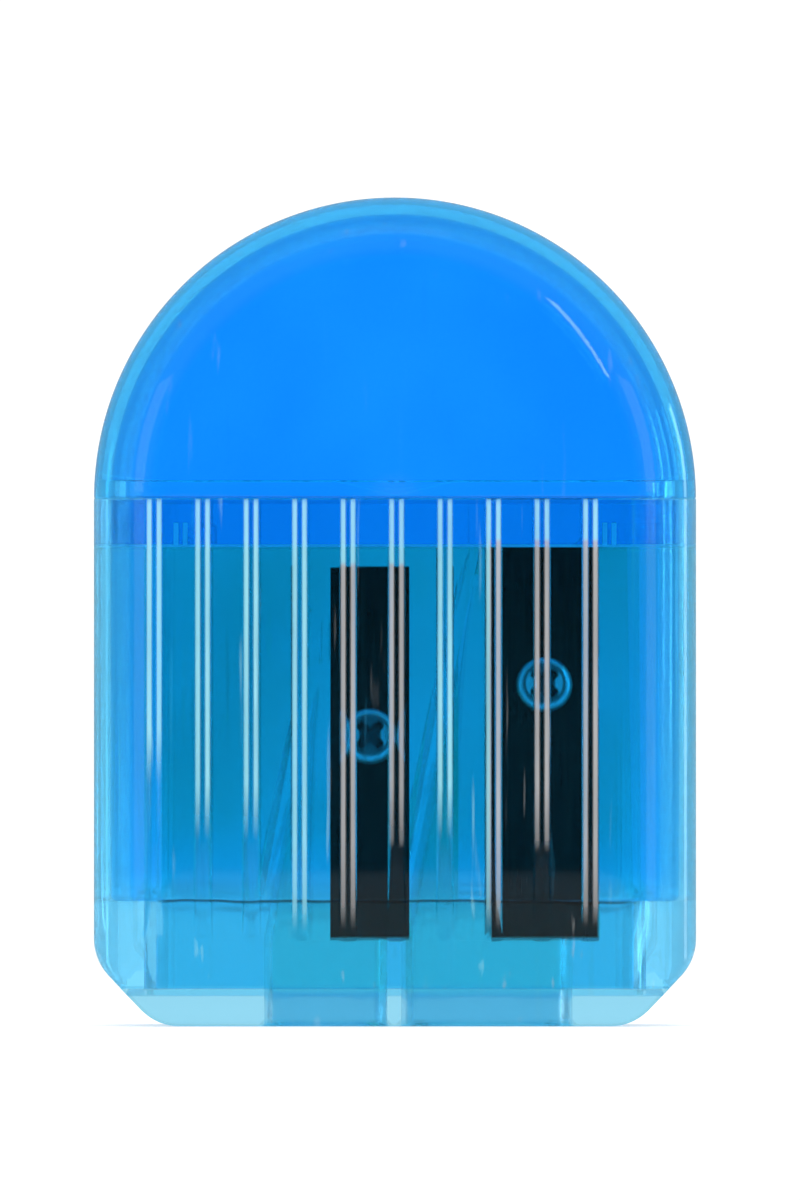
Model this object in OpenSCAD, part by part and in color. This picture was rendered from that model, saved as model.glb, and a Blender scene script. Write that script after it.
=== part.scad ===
// Two-hole canister pencil sharpener.
// A see-through sharpener block with two steel blades snaps into a ribbed grip sleeve,
// and a half-round cover plugs into the sleeve's mouth and holds the shavings.
// The block stands on its base at z = 0, the blades face -Y, and the cover is on top.

/* [Case] */
// Width of the case, and twice the radius of the cover's round top
case_w = 40; // [36:1:50]
// Radius of the rounded edge that runs round the front and the back face
edge_r = 6; // [4:0.5:7]
// Thickness of the sleeve's and the cover's walls
wall = 1.1; // [0.9:0.1:1.4]
// How far the faces swell out between the base and the grip, on each side
belly = 1.25; // [0.8:0.05:2]
// Height at which the faces start to curve in towards the base
curve_z = 10.6; // [9:0.2:14]
// Width of the slanted cut across each bottom corner
corner_w = 4.2; // [2:0.1:5]
// Height of the slanted cut across each bottom corner
corner_h = 4.4; // [2:0.1:5]
// Radius that rounds both ends of the slanted corners
corner_r = 3.5; // [1:0.1:4]

/* [Grip ribs] */
// Number of upright ribs on each face
rib_count = 10; // [4:1:11]
// Width of a rib
rib_w = 1.2; // [0.8:0.1:1.6]
// How far a rib stands out of the face
rib_h = 0.45; // [0.2:0.05:0.55]
// Distance from the left side of the case to the middle of the first rib
rib_left = 4.05; // [3:0.05:8]
// Distance from the right side of the case to the middle of the last rib
rib_right = 7.05; // [3:0.05:8]
// Height of a rib's lower end
rib_low_z = 5.8; // [4:0.1:9]

/* [Pencil holes] */
// Radius of the hole for standard pencils
standard_r = 4.1; // [3.8:0.1:4.9]
// Radius of the hole for jumbo pencils
jumbo_r = 5.7; // [5.2:0.1:6.8]
// Depth of the straight guide below each cone
guide_l = 6; // [4:0.5:8]
// Half of the angle of the cut point
cone_angle = 11.5; // [10:0.5:14]
// Radius at which a cone ends
tip_r = 0.43; // [0.3:0.01:0.6]
// Distance from the middle of the case to the jumbo hole
jumbo_x = 6.1; // [5:0.1:7]
// Distance from the middle of the case back to the jumbo hole
jumbo_y = 0.3; // [0:0.1:0.8]
// Thinnest wall between the two holes
hole_gap = 0.9; // [0.7:0.1:1.4]
// Thinnest wall behind the jumbo hole
back_wall = 1; // [0.8:0.1:1.6]
// Thickness of the sleeve that surrounds a cone
cone_wall = 1.2; // [0.8:0.1:1.6]
// Width of the lead-in at a hole's mouth
mouth_chamfer = 0.4; // [0.2:0.1:0.6]

/* [Blades] */
// Thickness of a blade
blade_t = 0.6; // [0.4:0.05:0.8]
// Width of the standard blade
standard_blade_w = 5.25; // [4.8:0.05:6]
// Length of the standard blade
standard_blade_l = 25; // [22:0.5:26]
// Width of the jumbo blade
jumbo_blade_w = 7.05; // [6.5:0.05:8]
// Length of the jumbo blade
jumbo_blade_l = 26.6; // [24:0.1:27]
// How far the cutting edge reaches into the cone
cut_depth = 0.2; // [0.1:0.05:0.3]
// Distance from a hole's axis to the cutting edge, seen from the front
edge_offset = 0.3; // [0:0.05:0.5]
// Width of the ground bevel along the cutting edge
bevel_w = 1.1; // [0.6:0.1:1.6]
// Play between a blade and its pocket
blade_play = 0.15; // [0.1:0.05:0.3]
// Width of the gap where shavings leave beside the cutting edge
slot_w = 2.2; // [1.6:0.1:2.6]
// Depth of that gap behind the blade seat
slot_d = 1.2; // [0.8:0.1:1.4]

/* [Screws] */
// Radius of a screw's shank
screw_r = 1; // [0.8:0.05:1.1]
// Radius of a screw's head
head_r = 1.9; // [1.7:0.05:2.1]
// Height of the straight part of a screw's head
head_h = 0.6; // [0.4:0.05:0.8]
// Height of the slanted top of a screw's head
head_crown = 0.45; // [0.3:0.05:0.6]
// Length of a screw behind its blade
screw_l = 5; // [3:0.5:6]
// Width of an arm of the cross recess
recess_w = 0.55; // [0.4:0.05:0.7]
// Length of the cross recess from tip to tip
recess_l = 2.2; // [1.8:0.1:2.6]
// Depth of the cross recess
recess_d = 0.6; // [0.4:0.05:0.7]
// Wall between a screw and the cone beside it
screw_wall = 0.45; // [0.3:0.05:0.6]
// Play between a screw's shank and the hole in its blade
hole_play = 0.3; // [0.1:0.05:0.4]
// Play between a screw's shank and its boss
boss_play = 0.02; // [0.01:0.01:0.05]

/* [Block] */
// Thickness of the base plate that closes the sleeve's bottom
base_t = 2.5; // [2:0.1:3]
// Height of the foot that fills the sleeve's socket, above the floor
foot_top = 8.3; // [7.5:0.1:9]
// Play between the foot and the socket
foot_play = 0.15; // [0.1:0.05:0.3]
// Radius of the foot's upright corners
foot_corner_r = 3; // [2:0.5:4]
// Gap between the seat plate's sides and the sleeve's side walls
plate_gap = 2.6; // [2:0.1:3]
// Thickness of the seat plate
plate_t = 1.6; // [1.2:0.1:2]
// Thickness of the side webs
web_t = 1.2; // [0.8:0.1:1.6]
// Length of a snap hook along the side of the foot
hook_l = 5; // [3:0.5:7]
// How far a snap hook reaches over the socket's ledge
hook_reach = 0.6; // [0.4:0.05:0.9]
// Height of a snap hook
hook_h = 1.4; // [1:0.1:2]
// Play between a snap hook and the ledge
hook_play = 0.1; // [0.05:0.05:0.2]

/* [Cover] */
// Depth of the lip that plugs into the sleeve
lip_h = 3.25; // [2.5:0.25:4]
// Thickness of the lip
lip_t = 0.9; // [0.7:0.1:1.2]
// Play between the lip and the sleeve
lip_play = 0.1; // [0.05:0.05:0.2]
// Height of the shelf that joins the lip to the cover's wall
shelf_h = 1.2; // [0.8:0.1:1.6]
// Distance that the block's top stands above the lip's lower edge
lip_overlap = 0.15; // [0:0.05:0.3]
// Width of one grip bar on the lip
bar_w = 0.3; // [0.3:0.05:0.6]
// How far a grip bar stands out of the lip
bar_h = 0.06; // [0.03:0.01:0.06]
// Distance from the middle of the case to a pair of grip bars
bar_x = 14.2; // [8:0.1:14.3]

/* [Hidden] */
$fn = 72;
over = 1;                       // how far a cut runs past a face
slope = tan(cone_angle);
rake = 90 - cone_angle;         // turns an upright axis square to the blade seat
half_w = case_w / 2;
foot_half_d = jumbo_r + jumbo_y + back_wall;
half_d = foot_half_d + foot_play + wall + belly;
standard_x = jumbo_x - jumbo_r - standard_r - hole_gap;
standard_y = jumbo_y - jumbo_r + standard_r;
block_top = guide_l + (jumbo_r - tip_r) / slope;
seam_z = block_top + lip_h - lip_overlap;
// The faces' lower curve is an arc that passes through the swell at curve_z and at base_t.
// It starts just above curve_z, so that it crosses the flat face and doesn't only touch it.
curve_lead = 0.6;
curve_drop = curve_z - base_t;
curve_r = (belly * belly + curve_drop * curve_drop + 2 * curve_drop * curve_lead) / (2 * belly);
corner_slant = sqrt(corner_w * corner_w + corner_h * corner_h);
corner_angle = atan2(corner_h, corner_w);
corner_low = corner_r * tan(corner_angle / 2);          // how far the lower rounding reaches from its corner
corner_up = corner_r * tan((90 - corner_angle) / 2);    // and the upper one
foot_half_w = half_w - corner_w + corner_w * base_t / corner_h
              - wall * corner_slant / corner_h - foot_play;
plate_half_w = half_w - wall - plate_gap;
blade_bottom = guide_l - blade_play;
rib_r = rib_w / 2;
rib_pitch = (case_w - rib_left - rib_right) / (rib_count - 1);

// How far the face stands out from the middle at a place across it, round edge included.
function face_y(x) = let (past = max(0, abs(x) - half_w + edge_r))
    half_d - edge_r + sqrt(edge_r * edge_r - past * past);
// Where the blade seat stands at a height: just inside both cones' front lines.
function seat_y(z) = jumbo_y - jumbo_r + cut_depth + (z - guide_l) * slope;
// A cone's radius at a height.
function cone_r(r, z) = r - (z - guide_l) * slope;
// Height of the screw beside a cone of mouth radius r, in a blade of width w.
function screw_z(r, w) = guide_l + (r - (w / 2 + edge_offset - screw_r - screw_wall)) / slope;
// Distance of that screw from its blade's lower end, along the blade.
function screw_up(r, w) = (screw_z(r, w) - blade_bottom) / cos(cone_angle);

standard_screw_x = standard_x + edge_offset + standard_blade_w / 2;
jumbo_screw_x = jumbo_x + edge_offset + jumbo_blade_w / 2;
standard_screw_z = screw_z(standard_r, standard_blade_w);
jumbo_screw_z = screw_z(jumbo_r, jumbo_blade_w);

// Rectangle with round corners, centred, from its half sizes.
module round_rect(hw, hd, r) {
    square([2 * hw, 2 * (hd - r)], center = true);
    square([2 * (hw - r), 2 * hd], center = true);
    for (x = [r - hw, hw - r], y = [r - hd, hd - r])
        translate([x, y]) circle(r);
}

// The case seen from above, drawn in by inset.
module plan_outline(inset) {
    round_rect(half_w - inset, half_d - inset, edge_r - inset);
}

// The case seen from the side, drawn in by inset: x here is the depth and y the height.
module side_profile(inset) {
    reach = half_d + over;
    translate([-reach, curve_z]) square([2 * reach, seam_z]);
    intersection() {
        translate([-reach, -over]) square([2 * reach, curve_z + over]);
        for_both_arcs(inset);
    }
}

// What two arcs, one for each face, leave between them.
module for_both_arcs(inset) {
    intersection() {
        translate([curve_r - half_d, curve_z + curve_lead]) circle(curve_r - inset, $fn = 200);
        translate([half_d - curve_r, curve_z + curve_lead]) circle(curve_r - inset, $fn = 200);
    }
}

// The case seen from the front, with its slanted bottom corners and their rounded ends.
module front_profile() {
    low_x = half_w - corner_w;
    along = [cos(corner_angle), sin(corner_angle)];
    polygon([[low_x - corner_low, 0], [low_x, 0] + corner_low * along, [half_w, corner_h] - corner_up * along,
             [half_w, corner_h + corner_up], [half_w, seam_z + over],
             [-half_w, seam_z + over], [-half_w, corner_h + corner_up],
             [-half_w + corner_up * along[0], corner_h - corner_up * along[1]],
             [-low_x - corner_low * along[0], corner_low * along[1]], [corner_low - low_x, 0]]);
    for (side = [-1, 1]) {
        translate([side * (low_x - corner_low), corner_r]) circle(corner_r);
        translate([side * (half_w - corner_r), corner_h + corner_up]) circle(corner_r);
    }
}

// A slice of the case's outside, from z0 to z1.
module case_solid(z0, z1) {
    intersection() {
        translate([0, 0, z0]) linear_extrude(z1 - z0) plan_outline(0);
        translate([-half_w - over, 0, 0]) rotate([90, 0, 90])
            linear_extrude(2 * (half_w + over)) side_profile(0);
        translate([0, half_d + over, 0]) rotate([90, 0, 0])
            linear_extrude(2 * (half_d + over)) front_profile();
    }
}

// Turns +Z to stand square out of the blade seat, at a height on it.
module on_seat(x, z) {
    translate([x, seat_y(z), z]) rotate([rake, 0, 0]) children();
}

// ---- Cover ----

// Section of the round top through its middle, drawn in by inset: x is the radius.
module dome_section(inset) {
    r = edge_r - inset;
    square([half_w - edge_r, half_d - inset]);
    square([half_w - inset, half_d - edge_r]);
    translate([half_w - edge_r, half_d - edge_r]) circle(r);
}

module dome_half(inset) {
    translate([0, 0, seam_z]) rotate([90, 0, 0])
        rotate_extrude(angle = 180) {
            intersection() {
                union() {
                    dome_section(inset);
                    mirror([0, 1]) dome_section(inset);
                }
                translate([0, -half_d]) square([half_w, 2 * half_d]);
            }
        }
}

module dome_cover() color("dodgerblue", 0.6) {
    lip_in = wall + lip_play;
    difference() {
        dome_half(0);
        dome_half(wall);
    }
    translate([0, 0, seam_z - lip_h]) linear_extrude(lip_h + shelf_h) difference() {
        plan_outline(lip_in);
        plan_outline(lip_in + lip_t);
    }
    translate([0, 0, seam_z]) linear_extrude(shelf_h) difference() {
        plan_outline(wall / 2);
        plan_outline(lip_in + lip_t / 2);
    }
    for (face = [0, 180], side = [-1, 1], step = [-1, 1]) rotate([0, 0, face])
        translate([side * bar_x + step * bar_w - bar_w / 2, lip_in - half_d - bar_h, seam_z - lip_h])
            cube([bar_w, bar_h + lip_t / 2, lip_h / 2]);
}

// ---- Sleeve ----

// A bead that runs down the face and then follows the face's lower curve.
module grip_rib(x) {
    start = curve_z + curve_lead;
    bend_r = curve_r - rib_r + rib_h;
    face = face_y(x);
    translate([x, rib_r - face - rib_h, start]) cylinder(h = seam_z - start, r = rib_r);
    translate([x, curve_r - face, start]) rotate([0, 90, 0]) rotate([0, 0, -90])
        rotate_extrude(angle = asin((start - rib_low_z) / bend_r)) translate([bend_r, 0]) circle(rib_r);
}

module grip_sleeve() color("deepskyblue", 0.6) difference() {
    union() {
        case_solid(base_t, seam_z);
        for (face = [0, 1], i = [0:rib_count - 1]) mirror([0, face, 0])
            grip_rib(rib_left + i * rib_pitch - half_w);
    }
    translate([0, 0, foot_top]) linear_extrude(seam_z) plan_cavity();
    translate([0, 0, base_t - over]) linear_extrude(foot_top)
        round_rect(foot_half_w + foot_play, foot_half_d + foot_play, foot_corner_r + foot_play);
}

// The room inside the sleeve above its ledge.
module plan_cavity() {
    plan_outline(wall);
}

// ---- Sharpener block ----

module pencil_hole(x, y, r) {
    cone_l = (r - tip_r) / slope;
    translate([x, y, -over]) cylinder(h = over + guide_l, r = r);
    translate([x, y, guide_l]) cylinder(h = cone_l, r1 = r, r2 = tip_r);
    translate([x, y, guide_l + cone_l]) cylinder(h = block_top, r = tip_r);
    translate([x, y, -mouth_chamfer]) cylinder(h = 2 * mouth_chamfer, r1 = r + 2 * mouth_chamfer, r2 = r);
}

// The wall round a cone, on the far side of the blade seat.
module cone_sleeve(x, y, r) {
    top = min(block_top, guide_l + (r - tip_r) / slope + cone_wall);
    intersection() {
        translate([x, y, guide_l])
            cylinder(h = top - guide_l, r1 = r + cone_wall, r2 = cone_r(r, top) + cone_wall);
        translate([-half_w, 0, 0]) rotate([90, 0, 90]) linear_extrude(case_w) polygon([
            [seat_y(0), 0], [half_d, 0], [half_d, block_top], [seat_y(block_top), block_top]]);
    }
}

// The sloping plate that carries the blades, seen from the side.
module seat_plate() {
    low = foot_top - base_t / 2;
    translate([-plate_half_w, 0, 0]) rotate([90, 0, 90]) linear_extrude(2 * plate_half_w) polygon([
        [seat_y(low), low], [seat_y(block_top), block_top],
        [seat_y(block_top) + plate_t, block_top], [seat_y(low) + plate_t, low]]);
}

// A web at each side, from the foot's back edge up to the plate's top.
module side_webs() {
    low = foot_top - base_t / 2;
    for (x = [-plate_half_w, plate_half_w - web_t])
        translate([x, 0, 0]) rotate([90, 0, 90]) linear_extrude(web_t) polygon([
            [seat_y(low), low], [seat_y(block_top), block_top], [seat_y(block_top) + plate_t, block_top],
            [foot_half_d - foot_corner_r, low]]);
}

module screw_boss(x, z) {
    on_seat(x, z) translate([0, 0, -screw_l - web_t]) cylinder(h = screw_l + web_t - plate_t / 2, r = 2 * screw_r);
}

// A hook that snaps over the socket's ledge, at the right side of the foot.
module snap_hook() {
    low = foot_top + hook_play;
    socket_w = foot_half_w + foot_play;
    translate([0, hook_l / 2, 0]) rotate([90, 0, 0]) linear_extrude(hook_l) polygon([
        [plate_half_w - web_t, foot_top - hook_h], [foot_half_w, foot_top - hook_h], [foot_half_w, low],
        [socket_w + hook_reach, low], [foot_half_w - hook_reach, low + hook_h],
        [plate_half_w - web_t, low + hook_h]]);
}

// Room for a blade's lower end in the foot, and the gap where the shavings leave.
module blade_room(x, r, w, cone_top) {
    edge = x + edge_offset;
    low = guide_l - blade_play;
    front = blade_t + 2 * blade_play;
    translate([edge - slot_w, 0, 0]) rotate([90, 0, 90]) linear_extrude(slot_w + w + blade_play)
        polygon([[seat_y(low) - front, low], [seat_y(low), low], [seat_y(foot_top), foot_top],
                 [seat_y(foot_top), foot_top + over], [seat_y(foot_top) - front, foot_top + over]]);
    translate([edge - slot_w, 0, 0]) rotate([90, 0, 90]) linear_extrude(slot_w)
        polygon([[seat_y(low) - front, low], [seat_y(low) + slot_d, low],
                 [seat_y(cone_top) + slot_d, cone_top], [seat_y(cone_top) - front, cone_top]]);
}

// The block before its holes are cut.
module block_stock() {
    case_solid(0, base_t);
    translate([0, 0, base_t / 2]) linear_extrude(foot_top - base_t / 2)
        round_rect(foot_half_w, foot_half_d, foot_corner_r);
    seat_plate();
    side_webs();
    cone_sleeve(standard_x, standard_y, standard_r);
    cone_sleeve(jumbo_x, jumbo_y, jumbo_r);
    screw_boss(standard_screw_x, standard_screw_z);
    screw_boss(jumbo_screw_x, jumbo_screw_z);
    snap_hook();
    mirror([1, 0, 0]) snap_hook();
}

module bored_block() {
    difference() {
        block_stock();
        pencil_hole(standard_x, standard_y, standard_r);
        pencil_hole(jumbo_x, jumbo_y, jumbo_r);
    }
}

module slotted_block() {
    difference() {
        bored_block();
        blade_room(standard_x, standard_r, standard_blade_w, guide_l + (standard_r - tip_r) / slope);
        blade_room(jumbo_x, jumbo_r, jumbo_blade_w, block_top - 2 * over);
    }
}

module sharpener_block() color("steelblue", 0.7) difference() {
    slotted_block();
    for (at = [[standard_screw_x, standard_screw_z], [jumbo_screw_x, jumbo_screw_z]])
        on_seat(at[0], at[1]) translate([0, 0, -screw_l]) cylinder(h = screw_l + over, r = screw_r + boss_play);
}

// ---- Blades and screws ----

// A blade with its ground edge along its left side. hole_up is measured from its lower end.
module blade(w, l, hole_up) {
    difference() {
        rotate([90, 0, 0]) translate([0, 0, -l]) linear_extrude(l)
            polygon([[0, 0], [w, 0], [w, blade_t], [bevel_w, blade_t]]);
        translate([w / 2, hole_up, -over]) cylinder(h = blade_t + 2 * over, r = screw_r + hole_play);
    }
}

module standard_blade() color("silver") on_seat(standard_x + edge_offset, blade_bottom)
    blade(standard_blade_w, standard_blade_l, screw_up(standard_r, standard_blade_w));

module jumbo_blade() color("silver") on_seat(jumbo_x + edge_offset, blade_bottom)
    blade(jumbo_blade_w, jumbo_blade_l, screw_up(jumbo_r, jumbo_blade_w));

// A cross-recessed screw whose head sits on the blade. Its shank points down -Z.
module blade_screw() {
    top = blade_t + head_h + head_crown;
    difference() {
        union() {
            translate([0, 0, 1.5 * screw_r - screw_l]) cylinder(h = screw_l + blade_t - screw_r, r = screw_r);
            translate([0, 0, -screw_l]) cylinder(h = 1.5 * screw_r, r1 = screw_r / 2, r2 = screw_r);
            translate([0, 0, blade_t]) cylinder(h = head_h, r = head_r);
            translate([0, 0, blade_t + head_h]) cylinder(h = head_crown, r1 = head_r, r2 = 0.6 * head_r);
        }
        for (turn = [45, 135]) rotate([0, 0, turn])
            translate([-recess_l / 2, -recess_w / 2, top - recess_d]) cube([recess_l, recess_w, recess_d + over]);
    }
}

module standard_blade_screw() color("gainsboro") on_seat(standard_screw_x, standard_screw_z) blade_screw();

module jumbo_blade_screw() color("gainsboro") on_seat(jumbo_screw_x, jumbo_screw_z) blade_screw();

dome_cover();
grip_sleeve();
sharpener_block();
standard_blade();
jumbo_blade();
standard_blade_screw();
jumbo_blade_screw();
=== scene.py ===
import math

import bpy
import mathutils
import numpy as np
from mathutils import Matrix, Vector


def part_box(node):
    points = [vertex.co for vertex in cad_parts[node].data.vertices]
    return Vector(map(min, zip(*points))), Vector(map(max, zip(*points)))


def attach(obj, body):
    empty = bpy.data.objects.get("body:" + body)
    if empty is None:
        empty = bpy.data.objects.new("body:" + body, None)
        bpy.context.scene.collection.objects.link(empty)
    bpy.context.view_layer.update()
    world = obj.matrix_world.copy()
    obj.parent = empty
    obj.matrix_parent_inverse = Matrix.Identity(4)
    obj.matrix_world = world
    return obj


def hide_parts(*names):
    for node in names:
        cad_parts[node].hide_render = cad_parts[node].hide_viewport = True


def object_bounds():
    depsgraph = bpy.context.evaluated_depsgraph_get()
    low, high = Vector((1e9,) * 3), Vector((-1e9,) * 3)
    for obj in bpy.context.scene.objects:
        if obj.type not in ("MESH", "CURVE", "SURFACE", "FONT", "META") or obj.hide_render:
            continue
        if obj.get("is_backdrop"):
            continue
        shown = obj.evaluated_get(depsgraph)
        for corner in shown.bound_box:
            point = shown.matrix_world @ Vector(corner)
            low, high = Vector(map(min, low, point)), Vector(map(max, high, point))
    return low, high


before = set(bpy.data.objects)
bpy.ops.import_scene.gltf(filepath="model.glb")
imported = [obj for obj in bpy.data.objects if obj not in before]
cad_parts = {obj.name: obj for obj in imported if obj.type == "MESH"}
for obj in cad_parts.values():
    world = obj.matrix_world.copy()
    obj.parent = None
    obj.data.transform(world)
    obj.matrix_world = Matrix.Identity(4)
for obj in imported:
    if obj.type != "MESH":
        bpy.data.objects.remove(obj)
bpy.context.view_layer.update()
mm = 0.001
print("frame loaded:", sorted(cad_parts))


def nodeBox(node):
    # a CAD node's corners in millimetres
    low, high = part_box(node)
    return np.array(low) / mm, np.array(high) / mm


# mesh helpers

weldPerMm = 2000  # points closer than one step of this many in a millimetre become one


def gridFaces(rows, columns):
    # quads between neighbouring points of a grid that is rows by columns
    index = np.arange(rows * columns).reshape(rows, columns)
    return np.stack([index[:-1, :-1], index[:-1, 1:], index[1:, 1:], index[1:, :-1]], -1).reshape(-1, 4)


def closeAround(grid):
    # the first column again at the end, so that a loop of points closes
    return np.concatenate([grid, grid[:, :1]], 1)


def makePiece(name, grids, shades=None, creaseAngle=35):
    # joins grids of points into one closed mesh: equal points become one, faces that shrink to a line go,
    # and the sum of the signed pyramids under the faces tells whether they look outwards
    points, faces, values, start = [], [], [], 0
    for number, grid in enumerate(grids):
        rows, columns = grid.shape[:2]
        points.append(grid.reshape(-1, 3))
        faces.append(gridFaces(rows, columns) + start)
        values.append(np.zeros(rows * columns) if shades is None or shades[number] is None
                      else shades[number].reshape(-1))
        start += rows * columns
    points, faces, values = np.concatenate(points), np.concatenate(faces), np.concatenate(values)
    key = np.round(points * weldPerMm).astype(np.int64)
    _, first, back = np.unique(key, axis=0, return_index=True, return_inverse=True)
    points, values, faces = points[first] * mm, values[first], back.reshape(-1)[faces]
    same = faces == np.roll(faces, -1, axis=1)
    quads = faces[same.sum(1) == 0]
    quads = quads[(quads[:, 0] != quads[:, 2]) & (quads[:, 1] != quads[:, 3])]
    triangles = []
    for corner in range(4):
        rows = faces[(same.sum(1) == 1) & same[:, corner]]
        triangles.append(np.delete(rows, corner, axis=1))
    triangles = np.concatenate(triangles)
    solid = np.concatenate([triangles, quads[:, [0, 1, 2]], quads[:, [0, 2, 3]]])
    volume = np.einsum("ij,ij->i", points[solid[:, 0]], np.cross(points[solid[:, 1]], points[solid[:, 2]])).sum()
    turn = 1 if volume > 0 else -1
    mesh = bpy.data.meshes.new(name)
    mesh.from_pydata(points.tolist(), [], quads[:, ::turn].tolist() + triangles[:, ::turn].tolist())
    mesh.polygons.foreach_set("use_smooth", np.ones(len(mesh.polygons), bool))
    mesh.set_sharp_from_angle(angle=math.radians(creaseAngle))
    # the surfaceShade values carry painted light: pale painted highlight lines on the plastic, painted shade on the
    # screws
    if shades is not None:
        layer = mesh.attributes.new("surfaceShade", "FLOAT", "POINT")
        layer.data.foreach_set("value", values.astype(np.float32))
    mesh.update()
    piece = bpy.data.objects.new(name, mesh)
    bpy.context.scene.collection.objects.link(piece)
    print("made", name, len(mesh.polygons), "faces, volume", round(abs(volume) / 6 / mm ** 3, 1), "mm3")
    return piece


def place(piece, body, node, material):
    # the piece takes a CAD node's place on a body, with one material
    piece.data.materials.clear()
    piece.data.materials.append(material)
    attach(piece, body)
    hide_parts(node)


# shader helper

class Wire:
    # wraps an output socket, so that shader maths can be written as an expression

    def __init__(self, tree, socket=None):
        self.tree, self.socket = tree, socket

    def make(self, kind, settings=None, sockets=None, out=0):
        node = self.tree.nodes.new(kind)
        for name, value in (settings or {}).items():
            if name == "stops":
                ramp = node.color_ramp
                while len(ramp.elements) < len(value):
                    ramp.elements.new(0.5)
                for element, (position, colour) in zip(ramp.elements, value):
                    element.position, element.color = position, (*colour, 1)
            else:
                setattr(node, name, value)
        for key, value in (sockets or {}).items():
            if isinstance(value, Wire):
                self.tree.links.new(value.socket, node.inputs[key])
            else:
                node.inputs[key].default_value = value
        return Wire(self.tree, node.outputs[out])

    def math(self, operation, second=0.0, first=None):
        # self goes first unless another value is given for the first place
        return self.make("ShaderNodeMath", {"operation": operation},
                         {0: self if first is None else first, 1: second})

    def __add__(self, other): return self.math("ADD", other)
    def __radd__(self, other): return self.math("ADD", self, other)
    def __sub__(self, other): return self.math("SUBTRACT", other)
    def __rsub__(self, other): return self.math("SUBTRACT", self, other)
    def __mul__(self, other): return self.math("MULTIPLY", other)
    def __rmul__(self, other): return self.math("MULTIPLY", self, other)

    def clamped(self):
        return self.make("ShaderNodeClamp", None, {"Value": self})

    def ramp(self, low, high):
        # 0 below low, 1 above high, smooth between
        return self.make("ShaderNodeMapRange", {"interpolation_type": "SMOOTHSTEP"},
                         {"Value": self, "From Min": low, "From Max": high})

    def mixColour(self, colourA, colourB):
        return self.make("ShaderNodeMix", {"data_type": "RGBA"}, {0: self, 6: colourA, 7: colourB}, 2)

    def noise(self, coordinate, scale, detail=2.0, roughness=0.5):
        return self.make("ShaderNodeTexNoise", None,
                         {"Vector": coordinate, "Scale": scale, "Detail": detail, "Roughness": roughness})


def newMaterial(name):
    # an empty node material, with its Object coordinates ready
    material = bpy.data.materials.new(name)
    material.use_nodes = True
    tree = material.node_tree
    tree.nodes.clear()
    wire = Wire(tree)
    coordinate = wire.make("ShaderNodeTexCoord", None, None, "Object")
    return material, wire, coordinate


def finishMaterial(wire, shader):
    # the last shader goes to the surface
    output = wire.tree.nodes.new("ShaderNodeOutputMaterial")
    wire.tree.links.new(shader.socket, output.inputs["Surface"])


def rgba(colour, gain=1.0):
    # a colour for a socket, made lighter or darker by gain
    return (*[channel * gain for channel in colour], 1.0)


# clear tinted plastic

finish = {"cloudFrom": 0.3, "cloudTo": 0.7, "darkLineSoft": 0.03, "darkLineEdge": 0.12, "darkLineWaveScale": 120.0,
          "scuffFrom": 0.55, "scuffTo": 0.8, "scratchFrom": 0.66, "scratchTo": 0.76, "patchScale": 420.0,
          "patchLow": 0.6, "patchGain": 0.8, "patchDark": 0.85, "highlightAndScratchRoughness": 0.35, "bladeSoft": 0.25,
          "bladeTopSoft": 0.4}


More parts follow.
